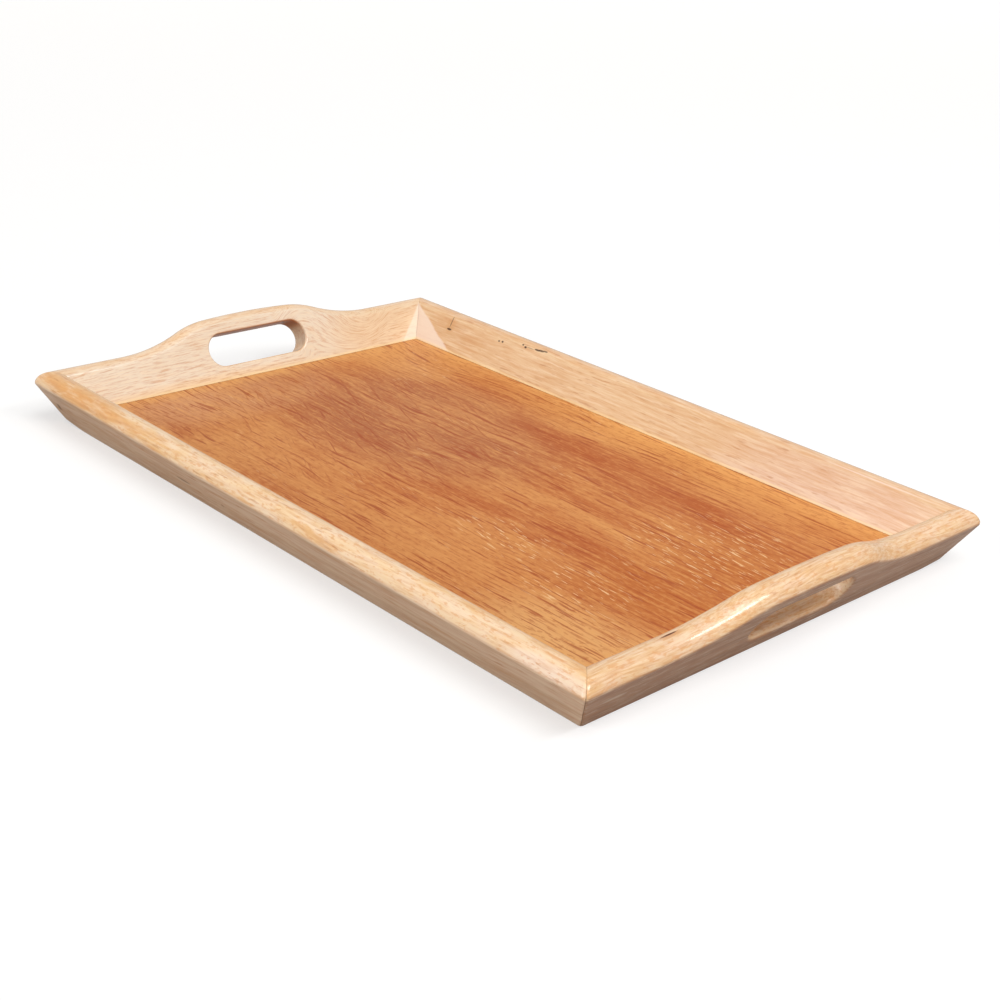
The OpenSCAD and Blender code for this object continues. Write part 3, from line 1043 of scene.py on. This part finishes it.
def sheet_mesh(name, low, high, wave_top, wave_bottom):
    """A closed sheet on a fine grid, whose faces are very slightly wavy."""
    nx = max(2, round((high.x - low.x) / SHEET_STEP))
    ny = max(2, round((high.y - low.y) / SHEET_STEP))
    verts = []
    for top in (False, True):
        for j in range(ny + 1):
            for i in range(nx + 1):
                x = low.x + (high.x - low.x) * i / nx
                y = low.y + (high.y - low.y) * j / ny
                place = Vector((x * WAVE_ALONG, y * WAVE_ACROSS, 3.0))
                lift = SHEET_WAVE * (0.5 + 0.5 * noise.noise(place))
                if top:
                    z = high.z - (lift if wave_top else 0)
                else:
                    z = low.z + (lift if wave_bottom else 0)
                verts.append((x, y, z))
    row = nx + 1
    level = row * (ny + 1)
    faces = []
    for j in range(ny):
        for i in range(nx):
            a = j * row + i
            faces.append((a, a + row, a + row + 1, a + 1))
            b = level + a
            faces.append((b, b + 1, b + row + 1, b + row))
    for i in range(nx):
        faces.append((i, i + 1, level + i + 1, level + i))
        b = ny * row + i
        faces.append((b + 1, b, level + b, level + b + 1))
    for j in range(ny):
        a = j * row
        faces.append((a + row, a, level + a, level + a + row))
        b = a + nx
        faces.append((b, b + row, level + b + row, level + b))
    return mesh_from(name, verts, faces)


def build_sheet(node, material, wave_top, wave_bottom):
    """A veneer's visible sheet, in its node's own box."""
    low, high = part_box(node)
    mesh = sheet_mesh(node + "_visual", low, high, wave_top, wave_bottom)
    piece = new_object(node + "_visual", mesh)
    piece.data.polygons.foreach_set("use_smooth", [True] * len(piece.data.polygons))
    piece.data.set_sharp_from_angle(angle=SHARP)
    piece.data.materials.append(material)
    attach(piece, "root")
    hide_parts(node)


INNER_HALF = (
    BASE_HALF_L + GROOVE_END - GROOVE_DEPTH,
    BASE_HALF_W + GROOVE_END - GROOVE_DEPTH,
)
REDDISH = linear(176, 84, 30)
FACE_LOOK = {
    "wander": 0.022, "half": INNER_HALF, "edge": 24 * MM, "depth": 1.0,
    "base": VENEER_TAN, "second": VENEER_RED,
    "line": linear(174, 82, 28), "light": linear(226, 160, 90),
    "dash": 0.85, "fleck": 0.75, "coat": 0.18,
    "patches": [
        # Partly the veneer's own pinkish tone and partly a painted reflection of the bright left
        # rail
        (VENEER_PINK_AND_REFLECTION, 0.85, (-0.11, 0.03), (0.17, 0.12)),
        (REDDISH, 0.75, (0.165, 0.085), (0.13, 0.035)),
        (REDDISH, 0.5, (0.03, 0.10), (0.14, 0.03)),
        # Orange along the back edge: partly the veneer's own tone, partly a painted reflection of
        # the back rail
        (VENEER_ORANGE, 0.45, (0.06, 0.150), (0.26, 0.035)),
        (VENEER_RED, 0.8, (-0.25, -0.02), (0.03, 0.04)),
        (VENEER_TAN, 0.7, (0.10, -0.11), (0.22, 0.06)),
        (linear(232, 176, 112), 0.9, (0.25, -0.14), (0.12, 0.08)),
        (linear(216, 160, 114), 0.7, (-0.25, -0.07), (0.07, 0.13)),
        # Orange at the back-left corner: partly the veneer's own tone, partly a painted reflection
        # of the rails
        (VENEER_ORANGE, 0.5, (-0.24, 0.13), (0.09, 0.06)),
        (linear(188, 104, 38), 0.7, (0.225, 0.0), (0.09, 0.13)),
    ],
    "clusters": [
        ((0.10, -0.062), (0.06, 0.035)),
        ((0.18, -0.078), (0.06, 0.04)),
        ((0.20, 0.04), (0.09, 0.08)),
    ],
    "strokes": [((-0.12, -0.01), (0.17, 0.14))],
}
BACK_VENEER_LOOK = {
    "wander": 0.012, "half": INNER_HALF, "edge": 10 * MM, "depth": 0.6,
    "base": linear(214, 178, 134), "second": linear(200, 160, 116),
    "line": linear(184, 144, 100), "light": linear(228, 196, 154),
    "dash": 0.4, "fleck": 0.2, "coat": 0.1, "patches": [], "clusters": [], "strokes": [],
}
face_wood = veneer_wood("face_veneer_wood", 1.0, FACE_LOOK)
build_sheet("floor_face_veneer", face_wood, True, False)
back_wood = veneer_wood("back_veneer_wood", 6.0, BACK_VENEER_LOOK)
build_sheet("floor_back_veneer", back_wood, False, True)

PLY_GRAIN = (900, 40, 1800)
DOWEL_GRAIN = (300, 300, 900)
core_wood = plain_wood("core_ply_wood", linear(222, 190, 148), linear(176, 132, 88), PLY_GRAIN)
dowel_wood = plain_wood("dowel_wood", linear(226, 192, 146), linear(180, 136, 92), DOWEL_GRAIN)
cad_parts["floor_core"].material_slots[0].material = core_wood
for node_name, node_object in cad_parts.items():
    if node_name.startswith("dowel_"):
        node_object.material_slots[0].material = dowel_wood


# ---- studio ----

PAPER_HALF = 30.0
PAPER_GREY = (0.45, 0.45, 0.45, 1)
PAPER_GLOW = 0.56
PAPER_BOUNCE = (0.36, 0.31, 0.285, 1)
SKY = 0.25
SKY_SEEN = 1.0
SUN_ANGLE = math.radians(40)
LENS = 58.447
SENSOR = 36
CAMERA_PLACE = (0.81727, -0.78720, 0.48866)
CAMERA_VIEW = (-0.64987, 0.64492, -0.40218)
CAMERA_RIGHT = (0.68262, 0.72794, 0.06426)
WHITE = (1.0, 1.0, 1.0)


def studio_floor():
    """Plain pale paper: it throws less light on the tray than the camera sees."""
    corners = [(-1, -1), (1, -1), (1, 1), (-1, 1)]
    verts = [(x * PAPER_HALF, y * PAPER_HALF, 0) for x, y in corners]
    made = new_object("studio_floor", mesh_from("studio_floor", verts, [(0, 1, 2, 3)]))
    g = Graph("studio_floor_paper")
    paper = g.node("ShaderNodeBsdfDiffuse")
    paper.inputs["Color"].default_value = PAPER_GREY
    glow = g.node("ShaderNodeEmission")
    glow.inputs["Strength"].default_value = PAPER_GLOW
    seen = g.node("ShaderNodeAddShader")
    g.put(seen.inputs[0], paper.outputs[0])
    g.put(seen.inputs[1], glow.outputs[0])
    bounced = g.node("ShaderNodeBsdfDiffuse")
    bounced.inputs["Color"].default_value = PAPER_BOUNCE
    choose = g.node("ShaderNodeMixShader")
    rays = g.node("ShaderNodeLightPath")
    g.put(choose.inputs[0], rays.outputs["Is Camera Ray"])
    g.put(choose.inputs[1], bounced.outputs[0])
    g.put(choose.inputs[2], seen.outputs[0])
    out = g.node("ShaderNodeOutputMaterial")
    g.put(out.inputs["Surface"], choose.outputs[0])
    made.data.materials.append(g.material)


def aimed(direction):
    """The rotation that points a light from the given direction at the origin."""
    return Vector(direction).to_track_quat("Z", "Y").to_euler()


def studio_sky():
    """A dim white world, seen bright behind the floor's far edge."""
    world = bpy.data.worlds.new("studio")
    world.use_nodes = True
    nodes, links = world.node_tree.nodes, world.node_tree.links
    background = nodes["Background"]
    background.inputs["Color"].default_value = (*WHITE, 1)
    rays = nodes.new("ShaderNodeLightPath")
    strength = nodes.new("ShaderNodeMath")
    strength.operation = "MULTIPLY_ADD"
    links.new(rays.outputs["Is Camera Ray"], strength.inputs[0])
    strength.inputs[1].default_value = SKY_SEEN - SKY
    strength.inputs[2].default_value = SKY
    links.new(strength.outputs[0], background.inputs["Strength"])
    bpy.context.scene.world = world


def sun(name, direction, energy, angle, colour):
    data = bpy.data.lights.new(name, "SUN")
    data.energy = energy
    data.angle = angle
    data.color = colour
    made = bpy.data.objects.new(name, data)
    made.rotation_euler = aimed(direction)
    bpy.context.scene.collection.objects.link(made)


def softbox(name, place, size, power, colour):
    data = bpy.data.lights.new(name, "AREA")
    data.shape = "RECTANGLE"
    data.size, data.size_y = size
    data.energy = power
    data.color = colour
    made = bpy.data.objects.new(name, data)
    made.location = place
    made.rotation_euler = aimed(place)
    bpy.context.scene.collection.objects.link(made)


def studio_camera():
    data = bpy.data.cameras.new("camera")
    data.sensor_width = SENSOR
    data.lens = LENS
    data.clip_start = 0.01
    data.clip_end = 100
    made = bpy.data.objects.new("camera", data)
    view = Vector(CAMERA_VIEW).normalized()
    right = Vector(CAMERA_RIGHT)
    right = (right - view * right.dot(view)).normalized()
    up = right.cross(view)
    basis = Matrix((right, up, -view)).transposed().to_4x4()
    made.matrix_world = Matrix.Translation(CAMERA_PLACE) @ basis
    bpy.context.scene.collection.objects.link(made)
    bpy.context.scene.camera = made


studio_floor()
studio_sky()
sun("key", (0.40, -0.03, 0.91), 1.5, math.radians(38), (1.0, 0.985, 0.96))
sun("fill", (-0.25, -0.93, 0.27), 1.55, SUN_ANGLE, WHITE)
sun("side", (0.92, -0.2, 0.33), 0.34, SUN_ANGLE, WHITE)
softbox("overhead", (1.22, 0.5, 1.5), (0.9, 0.3), 11.5, (0.97, 0.98, 1.0))
softbox("backdrop", (-2.7, 2.7, 1.3), (7.0, 2.6), 22.0, (1.0, 0.84, 0.66))
studio_camera()
bpy.context.scene.view_settings.view_transform = "Standard"
bpy.context.scene.view_settings.look = "None"
